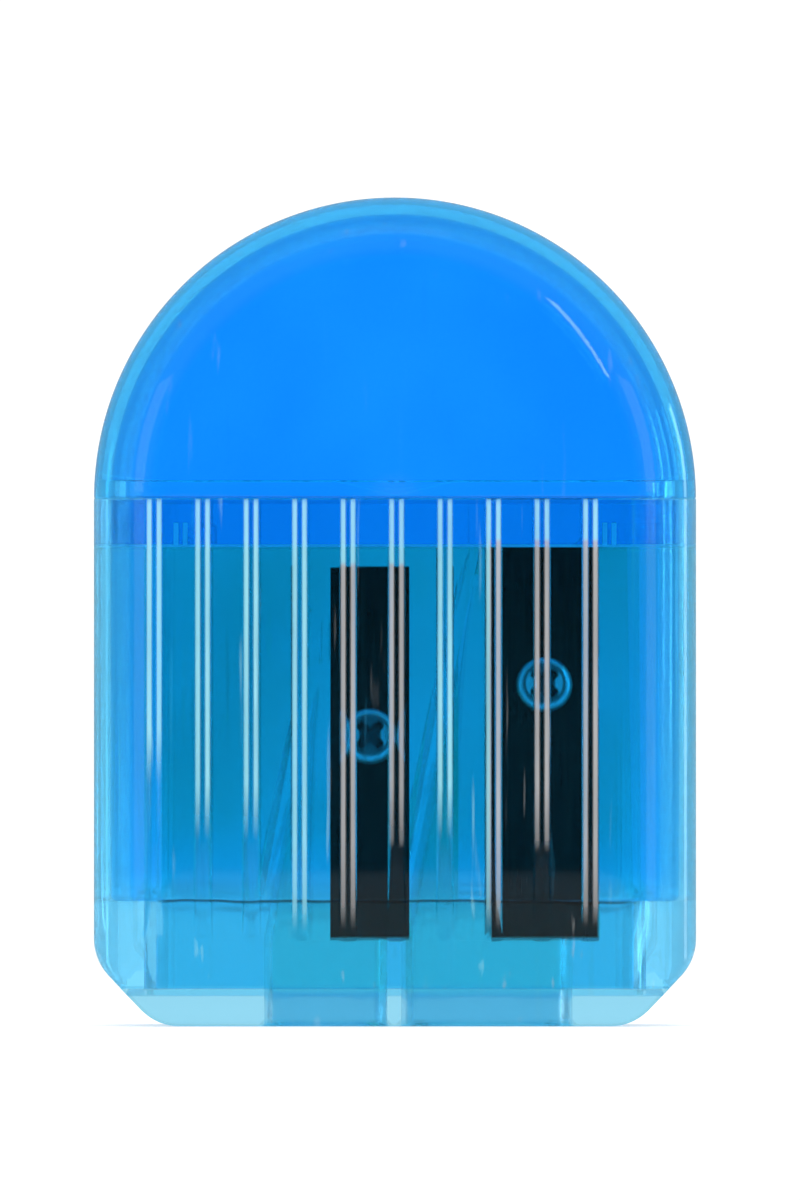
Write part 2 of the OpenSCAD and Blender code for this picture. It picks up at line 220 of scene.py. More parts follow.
def clearPlastic(name, look):
    # a glass-like shader whose tint counts once for each wall that light goes through
    material, wire, coordinate = newMaterial(name)

    def stretched(scale):
        return wire.make("ShaderNodeMapping", None, {"Vector": coordinate, "Scale": scale})

    height = wire.make("ShaderNodeSeparateXYZ", None, {0: coordinate}, "Z")
    across = wire.make("ShaderNodeSeparateXYZ", None, {0: coordinate}, "X")
    facing = wire.make("ShaderNodeLayerWeight", None, {"Blend": 0.5}, "Facing")
    cloud = wire.noise(coordinate, look["cloudScale"], 3.0)
    # each layer is a mask and the tint it brings: deeper clouds, paler where the wall turns away as light is piped
    # along it, paler low down
    layers = [(cloud.ramp(finish["cloudFrom"], finish["cloudTo"]), look["tintDeep"]),
              (facing.ramp(look["rimFrom"], look["rimTo"]), look["rimTint"]),
              (1.0 - height.ramp(look["lowTo"] * mm, look["lowFrom"] * mm), look["lowTint"])]
    if "baseTint" in look:
        layers.append((1.0 - height.ramp(look["baseFrom"] * mm, look["baseTo"] * mm), look["baseTint"]))
    if "darkLineAt" in look:  # a thin dark line at a set height, which may waver, as wide as its reach
        wave = wire.noise(stretched((1.0, 0.0, 0.0)), finish["darkLineWaveScale"])
        offset = (height - look["darkLineAt"] * mm + (wave - 0.5) * (look["darkLineWave"] * mm)).math("ABSOLUTE")
        reach = 1.0 - across.math("ABSOLUTE").ramp((look["darkLineReach"] - 1) * mm, look["darkLineReach"] * mm)
        darkLine = ((1.0 - offset.ramp(finish["darkLineSoft"] * mm, finish["darkLineEdge"] * mm)) * look["darkLineGain"]
                * reach).clamped()
        layers.append((darkLine, look["darkLineTint"]))

    def straightOn(colour):
        # a wall has two surfaces, so each takes the square root of the wall's tint
        return wire.make("ShaderNodeBsdfTransparent", None, {"Color": rgba([math.sqrt(part) for part in colour])})

    tint, straight = rgba(look["tint"]), straightOn(look["tint"])
    for mask, colour in layers:
        tint = mask.mixColour(tint, rgba(colour))
        straight = wire.make("ShaderNodeMixShader", None, {0: mask, 1: straight, 2: straightOn(colour)})
    scuffs = wire.noise(stretched((1.0, 1.0, 0.12)), look["scuffScale"], 4.0, 0.65)
    roughness = look["roughness"] + scuffs.ramp(finish["scuffFrom"], finish["scuffTo"]) * look["scuffGain"]
    flow = wire.noise(stretched(look["flowStretch"]), look["flowScale"], 1.5)
    relief = wire.make("ShaderNodeBump", None, {"Strength": look["flowStrength"], "Distance": look["flowDepth"] * mm,
                                                "Height": flow})
    bent = wire.make("ShaderNodeBsdfPrincipled", None, {
        "Base Color": tint, "Roughness": roughness, "IOR": look["ior"], "Transmission Weight": 1.0,
        "Normal": relief})
    # thin walls bend the light little: part of it goes straight on
    clear = wire.make("ShaderNodeMixShader", None, {0: look["straight"], 1: bent, 2: straight})
    # a pale coat: painted highlight lines where the mesh's attribute says so, and faint upright scratches
    shade = wire.make("ShaderNodeAttribute", {"attribute_name": "surfaceShade"}, None, "Fac")
    patches = wire.noise(stretched((1.0, 1.0, 0.2)), finish["patchScale"], 2.0)
    scratches = wire.noise(stretched((1.0, 1.0, 0.05)), look["scratchScale"], 2.0)
    amount = (shade * look["paintedHighlightGain"] * (finish["patchLow"] + finish["patchGain"] * patches)
              + scratches.ramp(finish["scratchFrom"], finish["scratchTo"]) * look["scratchGain"]).clamped()
    highlightAndScratchTint = patches.mixColour(rgba(look["highlightAndScratchColour"]), rgba(look["highlightAndScratchColour"], finish["patchDark"]))
    for node in look.get("darkBehind", []):  # the painted highlight lines are greyer in front of a blade than in front of blue plastic
        low, high = nodeBox(node)
        middleX, halfX = (low[0] + high[0]) / 2, (high[0] - low[0]) / 2
        beside = (across - middleX * mm).math("ABSOLUTE")
        beforeBlade = (1.0 - beside.ramp(halfX * mm, (halfX + finish["bladeSoft"]) * mm)) \
            * (1.0 - height.ramp(high[2] * mm, (high[2] + finish["bladeTopSoft"]) * mm))
        highlightAndScratchTint = beforeBlade.mixColour(highlightAndScratchTint, rgba(look["paintedHighlightGrey"]))
    highlightAndScratchCoat = wire.make("ShaderNodeBsdfPrincipled", None, {
        "Base Color": highlightAndScratchTint, "Roughness": finish["highlightAndScratchRoughness"], "Normal": relief})
    finishMaterial(wire, wire.make("ShaderNodeMixShader", None, {0: amount, 1: clear, 2: highlightAndScratchCoat}))
    return material


coverPlastic = clearPlastic("coverPlastic", {
    "tint": (0.07, 0.52, 1.0), "tintDeep": (0.05, 0.47, 0.99), "cloudScale": 60.0,
    "rimTint": (0.05, 0.56, 0.88), "rimFrom": 0.05, "rimTo": 0.6,
    "lowTint": (0.28, 0.8, 0.99), "lowFrom": 35.0, "lowTo": 34.9,
    # a thin dark line just above the parting line
    "darkLineAt": 35.08, "darkLineWave": 0.0, "darkLineReach": 19.5, "darkLineGain": 0.7, "darkLineTint": (0.01, 0.2, 0.5),
    "roughness": 0.02, "scuffScale": 260.0, "scuffGain": 0.05, "ior": 1.36, "straight": 0.35,
    "flowStretch": (1.0, 1.0, 1.0), "flowScale": 90.0, "flowStrength": 0.25, "flowDepth": 0.12,
    # the pale coat's colour and strength: painted highlights on the lip's lower edge and bars, and scratches
    "highlightAndScratchColour": (0.9, 0.97, 1.0), "paintedHighlightGain": 1.0, "scratchScale": 1100.0, "scratchGain": 0.04})

sleevePlastic = clearPlastic("sleevePlastic", {
    "tint": (0.07, 0.52, 0.9), "tintDeep": (0.05, 0.49, 0.86), "cloudScale": 70.0,
    "rimTint": (0.2, 0.7, 0.95), "rimFrom": 0.15, "rimTo": 0.7,
    "lowTint": (0.18, 0.65, 0.95), "lowFrom": 10.5, "lowTo": 7.0,
    # a thin dark wavering line at the sleeve's inner ledge
    "darkLineAt": 8.3, "darkLineWave": 0.8, "darkLineReach": 16.0, "darkLineGain": 0.8, "darkLineTint": (0.01, 0.1, 0.16),
    "roughness": 0.025, "scuffScale": 300.0, "scuffGain": 0.06, "ior": 1.34, "straight": 0.4,
    "flowStretch": (1.0, 1.0, 0.25), "flowScale": 150.0, "flowStrength": 0.3, "flowDepth": 0.1,
    # the pale coat's colour and strength: painted highlight lines on the ribs, grey in front of the blades, and
    # scratches
    "highlightAndScratchColour": (0.36, 0.78, 0.86), "paintedHighlightGain": 0.62,
    "paintedHighlightGrey": (0.46, 0.45, 0.45), "darkBehind": ["standard_blade", "jumbo_blade"],
    "scratchScale": 1300.0, "scratchGain": 0.22})

blockPlastic = clearPlastic("blockPlastic", {
    "tint": (0.42, 0.89, 0.7), "tintDeep": (0.25, 0.78, 0.54), "cloudScale": 75.0,
    "rimTint": (0.6, 0.95, 0.85), "rimFrom": 0.2, "rimTo": 0.8,
    "lowTint": (0.65, 0.93, 0.82), "lowFrom": 14.5, "lowTo": 7.0, "baseTint": (0.26, 0.62, 0.8),
    "baseFrom": 2.4, "baseTo": 2.7,
    "roughness": 0.12, "scuffScale": 340.0, "scuffGain": 0.12, "ior": 1.15, "straight": 0.35,
    "flowStretch": (1.0, 1.0, 0.2), "flowScale": 220.0, "flowStrength": 0.35, "flowDepth": 0.12,
    "highlightAndScratchColour": (0.8, 0.9, 0.92), "paintedHighlightGain": 0.0, "scratchScale": 900.0, "scratchGain": 0.1})
print("plastics ready")


# steel

steelGrain = {"from": 0.35, "to": 0.65, "roughnessGain": 0.12, "depth": 0.02}
rake = math.radians(11.5)  # the blades' and screws' lean


def steel(name, look):
    # metal with fine lines along one direction and smudged roughness
    material, wire, coordinate = newMaterial(name)
    along = wire.make("ShaderNodeMapping", None, {"Vector": coordinate, "Rotation": look["turn"]})
    lines = wire.noise(wire.make("ShaderNodeMapping", None, {"Vector": along, "Scale": look["stretch"]}),
                       look["lineScale"], 4.0, 0.6)
    smudge = wire.noise(coordinate, look["smudgeScale"], 3.0)
    colour = lines.ramp(steelGrain["from"], steelGrain["to"]).mixColour(rgba(look["dark"]), rgba(look["light"]))
    roughness = look["roughness"] + (smudge - 0.5) * look["smudgeGain"] + (lines - 0.5) * steelGrain["roughnessGain"]
    relief = wire.make("ShaderNodeBump", None, {
        "Strength": look["lineStrength"], "Distance": steelGrain["depth"] * mm, "Height": lines})
    if "paintedShadeColour" in look:  # painted shade: the attribute darkens the driver's cross most, and the face and the shank less
        recess = wire.make("ShaderNodeAttribute", {"attribute_name": "surfaceShade"}, None, "Fac")
        colour = recess.mixColour(colour, rgba(look["paintedShadeColour"]))
    finishMaterial(wire, wire.make("ShaderNodeBsdfPrincipled", None, {
        "Base Color": colour, "Metallic": 1.0, "Roughness": roughness, "Normal": relief}))
    return material


bladeSteel = steel("bladeSteel", {
    "dark": (0.03, 0.009, 0.005), "light": (0.07, 0.018, 0.01), "turn": (rake, 0.0, 0.0),
    "stretch": (1.0, 1.0, 0.05), "lineScale": 2600.0, "lineStrength": 0.25, "smudgeScale": 260.0,
    "roughness": 0.3, "smudgeGain": 0.16})
screwSteel = steel("screwSteel", {
    # a steel colour, and the darker colour that the painted shade pulls the head towards
    "dark": (0.92, 0.7, 0.52), "light": (1.0, 0.8, 0.6), "paintedShadeColour": (0.12, 0.06, 0.045),
    "turn": (rake, 0.0, 0.0), "stretch": (1.0, 1.0, 1.0),
    "lineScale": 1800.0, "lineStrength": 0.12, "smudgeScale": 700.0,
    "roughness": 0.13, "smudgeGain": 0.1})
print("steels ready")


# outlines shared by the cover and the sleeve

sleeveLow, sleeveHigh = nodeBox("grip_sleeve")
coverLow, coverHigh = nodeBox("dome_cover")
seamZ = sleeveHigh[2]
halfW = coverHigh[0]
halfD = coverHigh[1]
domeR = min(halfW, coverHigh[2] - seamZ) - 0.001  # a hair inside the CAD shape's facets
edgeR = 6.0
wall = 1.1


def quarterArc(centreX, centreZ, radius, fromAngle, toAngle, steps=4):
    # points of an arc as (x, z) pairs
    angle = np.radians(np.linspace(fromAngle, toAngle, steps))
    return np.stack([centreX + radius * np.cos(angle), centreZ + radius * np.sin(angle)], -1)


# cover

def coverSection(inset, arcSteps=16):
    # half of the rounded section from the front pole to the back pole: radius from the middle, and depth
    # (flat, then a quarter circle; there are more points where the small bars of the lip stand)
    r = edgeR - inset
    bar = coverSize["barX"] + np.array(coverSize["barSteps"]) * coverSize["barW"]
    arc = np.radians(np.linspace(coverSize["arcFrom"], 90, arcSteps))
    radius = np.concatenate([coverSize["flatSteps"], bar, domeR - edgeR + r * np.sin(arc)])
    past = np.clip(radius - (domeR - edgeR), 0, r)
    depth = -(halfD - edgeR) - np.sqrt(r ** 2 - past ** 2)
    return np.concatenate([radius, radius[::-1]]), np.concatenate([depth, -depth[::-1]])


def coverSkin(inset, lift, turns):
    # each point is at distance rho and angle phi from the middle of the cut that is lift above the seam:
    # rho is where that ray meets the section's circle round the middle of the seam
    radius, depth = coverSection(inset)
    phi = np.linspace(0, math.pi, turns)[:, None]
    rho = np.sqrt(np.maximum(radius ** 2 - (lift * np.cos(phi)) ** 2, 0)) - lift * np.sin(phi)
    rho = np.where(radius < 1e-6, 0, rho)
    return np.stack([rho * np.cos(phi), np.broadcast_to(depth, rho.shape), seamZ + lift + rho * np.sin(phi)], -1)


def skinLoop(skin):
    # the skin's lower edge as one loop of points: the right side, then the left side backwards
    return np.concatenate([skin[0], skin[-1][::-1][1:-1]])


def coverLoop(inset, z):
    # the section laid flat at height z: its points to the right, then the same mirrored to the left
    radius, depth = coverSection(inset)
    right = np.stack([radius, depth, np.full(len(radius), z)], -1)
    left = right[::-1][1:-1] * np.array([-1, 1, 1])
    return np.concatenate([right, left])


coverSize = {"turns": 97, "edgeRound": 0.12, "lipDrop": seamZ - coverLow[2], "lipT": 0.9, "lipPlay": 0.1,
             "shelf": 1.2, "lipRound": 0.25, "nick": 0.08, "shelfNick": 0.1, "lipShine": 0.2,
             "barX": 14.2, "barW": 0.3, "barH": 0.06, "barTall": 1.62, "barStep": 0.03, "barShade": 0.9,
             "barFaceY": 6,
             "barSteps": [-1.6, -1.45, -0.55, -0.4, 0.4, 0.55, 1.45, 1.6],
             "flatSteps": [0.0, 4.0, 8.0, 11.5], "arcFrom": 11}


def makeCover(size):
    # outer skin, then rings over the seam face, down the lip, up its inside and over the shelf, then inner skin
    rnd, lipIn, lipRound = size["edgeRound"], wall + size["lipPlay"], size["lipRound"]
    nick, shelfNick = size["nick"], size["shelfNick"]
    lipLow = seamZ - size["lipDrop"]
    barTop = lipLow + size["barTall"]
    outer = coverSkin(0, rnd, size["turns"])
    inner = coverSkin(wall, size["shelf"], size["turns"])
    lipBack = lipIn + size["lipT"]
    path = [*quarterArc(rnd, seamZ + rnd, rnd, 180, 270)[1:],
            (lipIn - nick, seamZ), (lipIn, seamZ - nick), (lipIn, barTop + size["barStep"]),
            (lipIn, barTop - size["barStep"]), (lipIn, lipLow + lipRound),
            *quarterArc(lipIn + lipRound, lipLow + lipRound, lipRound, 180, 270)[1:],
            *quarterArc(lipBack - lipRound, lipLow + lipRound, lipRound, 270, 360),
            (lipBack, seamZ + size["shelf"] - shelfNick), (lipBack - shelfNick, seamZ + size["shelf"])]
    loops = [coverLoop(inset, z) for inset, z in path]
    shades = []
    for (inset, z), loop in zip(path, loops):
        # pairs of small bars stand out of the lip near its sides; the bars and the lip's lower edge get pale painted
        # highlights
        middleX = np.abs(np.abs(loop[:, 0]) - size["barX"])
        onBar = (middleX > 0.5 * size["barW"]) & (middleX < 1.5 * size["barW"])
        onBar &= np.abs(loop[:, 1]) > size["barFaceY"]
        onLip = abs(inset - lipIn) < 1e-6 and z < barTop
        if onLip:
            loop[:, 1] += np.sign(loop[:, 1]) * size["barH"] * onBar
        shades.append(onBar * (size["barShade"] if onLip else 0.0)
                      + (1.0 if z < lipLow + size["lipShine"] else 0.0))
    rings = closeAround(np.stack([skinLoop(outer)] + loops + [skinLoop(inner)]))
    edge = np.zeros((1, rings.shape[1] - 1))
    shade = np.concatenate([edge, np.stack(shades), edge])
    # the outer skin runs the other way round, so that all faces look out of the plastic
    return makePiece("domeCover", [outer[::-1], rings, inner],
                     [None, np.concatenate([shade, shade[:, :1]], 1), None])


place(makeCover(coverSize), "cover", "dome_cover", coverPlastic)


# sleeve

sleeveSize = {"cornerW": 4.2, "cornerH": 4.4, "cornerR": 3.5, "curveZ": 11.2, "curveR": 26.5,
              "footTop": 8.3, "footHalfD": 7.15, "footNick": 0.1, "footSlope": 0.3, "socketR": 3.15,
              "ribCount": 10, "ribLeft": 4.05, "ribRight": 7.05, "ribR": 0.6, "ribH": 0.45,
              "ribLow": 5.8, "ribFade": 12.4, "fadePower": 0.45, "edgeRound": 0.09, "blend": 0.05,
              "denseTo": 6.2, "lineInner": 0.13, "lineOuter": 0.53, "lineSoft": 0.1, "shineSoft": 1.5,
              "shine": [16.0, 12.6, 12.4, 6.2, 6.4, 11.8, 12.6, 6.4, 11.6, 6.6]}


def frontPlan(size):
    # places across the face, from the left side to the right: close together on every rib
    first, last = size["ribLeft"] - halfW, halfW - size["ribRight"]
    ribs = np.linspace(first, last, size["ribCount"])
    across = np.sin(np.linspace(-1, 1, 25) * math.pi / 2) * (size["ribR"] - 0.01)  # densest at a rib's feet
    onRibs = (ribs[:, None] + across).ravel()
    between = (ribs[:-1, None] + np.diff(ribs)[:, None] * np.array([0.28, 0.5, 0.72])).ravel()
    cornerX = halfW - edgeR + edgeR * np.sin(np.linspace(0, math.pi / 2, 15))
    onCorners = np.concatenate([cornerX, -cornerX])
    near = np.abs(onCorners[:, None] - ribs).min(1) < size["ribR"] + size["blend"]
    return np.unique(np.round(np.concatenate([onRibs, between, onCorners[~near]]), 5)), ribs


planX, ribX = frontPlan(sleeveSize)


def planTemplate():
    # every point of an outline as a place on the inner rectangle plus a direction out of it
    over = np.clip((np.abs(planX) - (halfW - edgeR)) / edgeR, 0, 1)
    a = np.clip(planX / (halfW - edgeR), -1, 1)
    nx = np.sign(planX) * over
    ny = -np.sqrt(1 - over ** 2)
    front = np.stack([a, np.full(len(a), -1.0), nx, ny], -1)
    sideB = np.linspace(-1, 1, 8)[1:-1]
    right = np.stack([np.ones(6), sideB, np.ones(6), np.zeros(6)], -1)
    back = front[::-1] * np.array([1, -1, 1, -1])
    left = right[::-1] * np.array([-1, 1, -1, 1])
    return np.concatenate([front, right, back, left])


template = planTemplate()


def outlineLoop(halfX, halfY, radius, z):
    # a rounded rectangle of those half sizes and corner radius at height z
    x = (halfX - radius) * template[:, 0] + radius * template[:, 2]
    y = (halfY - radius) * template[:, 1] + radius * template[:, 3]
    return np.stack([x, y, np.full(len(x), z)], -1)


def softMin(first, second, blend):
    # the smaller of two lengths, with a rounded change-over as wide as blend
    share = np.clip(0.5 + 0.5 * (second - first) / blend, 0, 1)
    return second + (first - second) * share - blend * share * (1 - share)


def widthAt(size, z):
    # half the front outline's width: straight side, round end, slant, where the round end reaches
    # its radius times the tangent of half its turn
    slant = math.atan2(size["cornerH"], size["cornerW"])
    reach = size["cornerR"] * math.tan((math.pi / 2 - slant) / 2)
    centre = size["cornerH"] + reach
    if z >= centre:
        return halfW
    if z >= size["cornerH"] - reach * math.sin(slant):
        return halfW - size["cornerR"] + math.sqrt(size["cornerR"] ** 2 - (centre - z) ** 2)
    return halfW - size["cornerW"] * (size["cornerH"] - z) / size["cornerH"]


def sleeveLoop(size, z, inset=0.0):
    # the plan outline, cut by the faces' lower arcs and by the slanted corners, with the ribs standing out
    loop = outlineLoop(halfW - inset, halfD - inset, edgeR - inset, z)
    drop = max(size["curveZ"] - z, 0)
    depth = halfD - inset - (size["curveR"] - math.sqrt(size["curveR"] ** 2 - drop ** 2))
    width = widthAt(size, z) - inset
    x, y = loop[:, 0], loop[:, 1]
    face = np.where(np.abs(y) > 0.01, softMin(np.abs(y), depth, size["blend"]), np.abs(y))
    x = np.sign(x) * np.minimum(np.abs(x), width)
    shade = np.zeros(len(x))
    lift = 1.0
    if z > seamZ - size["ribR"]:  # round top ends
        lift = math.sqrt(max(1 - ((z - seamZ + size["ribR"]) / size["ribR"]) ** 2, 0))
    if z < size["ribFade"]:  # the beads sink into the face lower down
        lift = max((z - size["ribLow"]) / (size["ribFade"] - size["ribLow"]), 0) ** size["fadePower"]
    if inset == 0 and lift > 0:
        u = x[:, None] - ribX
        which = np.abs(u).argmin(1)
        u = np.take_along_axis(u, which[:, None], 1)[:, 0]
        centre = np.abs(ribX[which])
        past = np.clip(centre - (halfW - edgeR), 0, edgeR)
        foot = softMin(halfD - edgeR + np.sqrt(edgeR ** 2 - past ** 2), depth, size["blend"])
        bead = foot + (size["ribH"] - size["ribR"] + np.sqrt(np.maximum(size["ribR"] ** 2 - u ** 2, 0))) * lift
        onFace = np.abs(template[:, 3]) > 0.3
        ridge = onFace & (np.abs(u) < size["ribR"]) & (bead > face)
        face = np.where(ridge, bead, face)
        # painted highlight: a pale line down each flank of a rib, handed to the mesh as its shade values
        flank = np.clip((np.abs(u) - size["lineInner"]) / size["lineSoft"], 0, 1) \
            * np.clip((size["lineOuter"] - np.abs(u)) / size["lineSoft"], 0, 1)
        # each rib's painted highlight lines reach down to a height of their own
        strength = np.clip((z - np.array(size["shine"])[which]) / size["shineSoft"], 0, 1)
        shade = np.where(onFace & (np.abs(u) < size["ribR"]), flank * strength * lift, 0)
    return np.stack([x, np.sign(y) * face, np.full(len(x), z)], -1), shade


def makeSleeve(size):
    # outside from the bottom to the seam, over the rim, down the inside to the ledge, and down the socket
    low = sleeveLow[2]
    rnd = size["edgeRound"]
    ribTop = seamZ - size["ribR"]
    heights = np.concatenate([np.linspace(low, size["denseTo"], 17)[:-1],
                              np.linspace(size["denseTo"], size["ribFade"], 22),
                              np.linspace(size["ribFade"], ribTop, 7)[1:],
                              ribTop + size["ribR"] * np.sin(np.radians([15, 30, 45, 58, 70, 80]))])
    outside = [sleeveLoop(size, z) for z in heights] + [sleeveLoop(size, seamZ, rnd)]
    footHalfW = halfW - size["cornerW"] + size["cornerW"] * low / size["cornerH"] \
        - wall * math.hypot(size["cornerW"], size["cornerH"]) / size["cornerH"]

    def cavity(grow, z):
        return outlineLoop(halfW - wall + grow, halfD - wall + grow, edgeR - wall + grow, z)

    inside = [cavity(rnd, seamZ), cavity(0.0, seamZ - rnd), cavity(0.0, size["footTop"] + size["footSlope"]),
              cavity(-size["footNick"], size["footTop"]),
              outlineLoop(footHalfW, size["footHalfD"], size["socketR"], size["footTop"]),
              outlineLoop(footHalfW, size["footHalfD"], size["socketR"], low)]
    loops = [loop for loop, _ in outside] + inside + [outside[0][0]]
    shades = np.stack([shade for _, shade in outside] + [np.zeros(len(template))] * (len(inside) + 1))
    return makePiece("gripSleeve", [closeAround(np.stack(loops))], [closeAround(shades[:, :, None])[..., 0]])


place(makeSleeve(sleeveSize), "base", "grip_sleeve", sleevePlastic)


# blades

up = np.array([0.0, math.sin(rake), math.cos(rake)])
out = np.array([0.0, -math.cos(rake), math.sin(rake)])


def onSeat(origin, x, along, away):
    # a point of the seat's own plane in the row frame: across, up along the seat, and out of it
    return origin + x[..., None] * np.array([1.0, 0, 0]) + along[..., None] * up + away[..., None] * out


def bladeLoop(x0, x1, z0, z1, perSide=24):
    # a rectangle's points, anticlockwise from its lower left corner
    step = np.linspace(0, 1, perSide, endpoint=False)
    return np.concatenate([np.stack([x0 + (x1 - x0) * step, np.full(perSide, z0)], -1),
                           np.stack([np.full(perSide, x1), z0 + (z1 - z0) * step], -1),
                           np.stack([x1 - (x1 - x0) * step, np.full(perSide, z1)], -1),
                           np.stack([np.full(perSide, x0), z1 - (z1 - z0) * step], -1)])


bladeSize = {"thick": 0.6, "bevel": 1.1, "chamfer": 0.07, "holeR": 1.3, "edge": 0.02, "standardHole": 13.32,
             "jumboHole": 16.83}


def makeBlade(name, node, size, holeUp):
    # rings that run from the hole over the top face, down the ground edge and the sides, and back underneath
    low, high = nodeBox(node)
    thick, chamfer = size["thick"], size["chamfer"]
    wide = high[0] - low[0]
    length = (high[2] - low[2] - thick * math.sin(rake)) / math.cos(rake)
    origin = np.array([low[0], low[1] + thick * math.cos(rake), low[2]])
    corner = bladeLoop(0, wide, 0, length)
    towards = np.arctan2(corner[:, 1] - holeUp, corner[:, 0] - wide / 2)

    def hole(radius):
        return np.stack([wide / 2 + radius * np.cos(towards), holeUp + radius * np.sin(towards)], -1)

    ground = bladeLoop(size["edge"], wide, 0, length)
    # the ground edge is thin on the left and the other sides keep their thickness
    groundAway = np.clip(thick * ground[:, 0] / size["bevel"], 2 * chamfer, thick - chamfer)
    rings = [(hole(size["holeR"]), chamfer), (hole(size["holeR"]), thick - chamfer),
             (hole(size["holeR"] + chamfer), thick),
             (bladeLoop(size["bevel"], wide - chamfer, chamfer, length - chamfer), thick),
             (ground, groundAway), (corner, chamfer),
             (bladeLoop(chamfer, wide - chamfer, chamfer, length - chamfer), 0.0),
             (hole(size["holeR"] + chamfer), 0.0), (hole(size["holeR"]), chamfer)]
    grid = [onSeat(origin, ring[:, 0], ring[:, 1], away + np.zeros(len(ring))) for ring, away in rings]
    return makePiece(name, [closeAround(np.stack(grid))], creaseAngle=20)


place(makeBlade("standardBlade", "standard_blade", bladeSize, bladeSize["standardHole"]),
      "base", "standard_blade", bladeSteel)
place(makeBlade("jumboBlade", "jumbo_blade", bladeSize, bladeSize["jumboHole"]),
      "base", "jumbo_blade", bladeSteel)


# screws

screwSize = {"headR": 1.9, "headH": 0.6, "crown": 0.45, "seatT": 0.6, "shankR": 1.0, "length": 5.0,
             "flatShare": 0.62, "crownDrop": 0.06, "shoulderDrop": 0.1, "crownRows": 30, "shoulderRows": 9,
             "underHead": [0.3, 0.12, 0.03, 0.0], "headIn": [0.0, 0.0, 0.03, 0.1],
             "tip": [0.85, 0.5, 0.2, 0.0], "tipR": [0.92, 0.75, 0.6, 0.5], "shankRows": 84,
             "thread": 0.62, "threadDepth": 0.17, "threadIn": 0.01, "threadTop": 0.2, "threadFade": 0.5,
             "armW": 0.55, "armL": 2.2, "armSide": 0.07, "armTip": 0.35, "recess": 0.6, "turns": 144,
             "rimFrom": 0.72, "rimSoft": 0.08, "rimTo": 0.97, "rimEdge": 0.04, "cheekFrom": 0.34, "cheekTo": 0.68,
             "cheekEdge": 0.06, "cheekTurn": 0.55, "cheekTurnSoft": 0.2, "paintedFaceShade": 0.85, "shankShade": 0.6}


def makeScrew(name, node, size):
    # a profile turned round the screw's axis: crown with a cross sunk in it, head, shank with a helical thread
    low, high = nodeBox(node)
    headR, seatT = size["headR"], size["seatT"]
    originZ = low[2] + headR * math.cos(rake) - seatT * math.sin(rake)
    originY = high[1] - size["length"] * math.cos(rake) - 0.5 * size["shankR"] * math.sin(rake)
    origin = np.array([(low[0] + high[0]) / 2, originY, originZ])
    headTop = seatT + size["headH"] + size["crown"]
    crownR = np.linspace(0, size["flatShare"] * headR, size["crownRows"])
    crownZ = headTop - size["crownDrop"] * (crownR / crownR[-1]) ** 2
    arc = np.linspace(0, 1, size["shoulderRows"] + 1)[1:]
    shoulderR = size["flatShare"] * headR + ((1 - size["flatShare"]) * headR) * np.sin(arc * math.pi / 2)
    shoulderZ = headTop - size["crownDrop"] \
        - (size["crown"] - size["crownDrop"] + size["shoulderDrop"]) * (1 - np.cos(arc * math.pi / 2))
    sideZ = seatT + np.array(size["underHead"])
    sideR = headR - np.array(size["headIn"])
    shankZ = np.linspace(seatT, 1.0 - size["length"], size["shankRows"])
    tipZ = np.array(size["tip"]) - size["length"]
    radius = np.concatenate([crownR, shoulderR, sideR, np.full(len(shankZ), size["shankR"]), size["tipR"], [0.0]])
    height = np.concatenate([crownZ, shoulderZ, sideZ, shankZ, tipZ, [-size["length"]]])
    phi = np.linspace(0, 2 * math.pi, size["turns"], endpoint=False)[None, :]
    r, h = radius[:, None] + 0 * phi, height[:, None] + 0 * phi
    row = np.arange(len(radius))[:, None]
    shankRow = len(crownR) + len(arc) + len(sideZ)
    onShank = (row >= shankRow) & (row < shankRow + len(shankZ))
    saw = np.abs(((h / size["thread"] - phi / (2 * math.pi)) % 1) - 0.5) * 2  # 1 at a crest, 0 in a groove
    fade = np.clip((size["threadTop"] - h) / size["threadFade"], 0, 1)
    r = np.where(onShank, r - size["threadDepth"] * (1 - saw) * fade - size["threadIn"], r)
    x, y = r * np.cos(phi), r * np.sin(phi)
    diagonalA, diagonalB = (x + y) / math.sqrt(2), (x - y) / math.sqrt(2)

    def arm(acrossIt, alongIt):
        # depth share of one arm: full inside, rising steeply at its sides and more slowly at its tips
        side = np.clip((size["armW"] / 2 - np.abs(acrossIt)) / size["armSide"] + 0.5, 0, 1)
        tip = np.clip((size["armL"] / 2 - np.abs(alongIt)) / size["armTip"], 0, 1)
        return side * tip

    cross = np.maximum(arm(diagonalA, diagonalB), arm(diagonalB, diagonalA))
    inHead = row < len(crownR) + 4  # the cross's tips reach a little way down the shoulder
    h = np.where(inHead, h - size["recess"] * cross, h)
    # painted light: the rim and the cheeks beside the cross keep a painted highlight, the face between them gets
    # painted shade
    share = r / headR
    rim = np.clip((share - size["rimFrom"]) / size["rimSoft"], 0, 1) \
        * np.clip((size["rimTo"] - share) / size["rimEdge"], 0, 1)
    cheek = np.clip((np.cos(phi) ** 2 - size["cheekTurn"]) / size["cheekTurnSoft"], 0, 1) \
        * np.clip((share - size["cheekFrom"]) / size["rimSoft"], 0, 1) \
        * np.clip((size["cheekTo"] - share) / size["cheekEdge"], 0, 1)
    paintedFaceShade = size["paintedFaceShade"] - size["paintedFaceShade"] * np.maximum(rim, cheek)
    shade = np.where(inHead, np.maximum(paintedFaceShade, cross), size["shankShade"])
    return makePiece(name, [closeAround(onSeat(origin, x, y, h))], [np.concatenate([shade, shade[:, :1]], 1)],
                     creaseAngle=40)


place(makeScrew("standardBladeScrew", "standard_blade_screw", screwSize),
      "base", "standard_blade_screw", screwSteel)
place(makeScrew("jumboBladeScrew", "jumbo_blade_screw", screwSize),
      "base", "jumbo_blade_screw", screwSteel)


# block

blockSize = {"crease": 30, "bevel": 0.07}


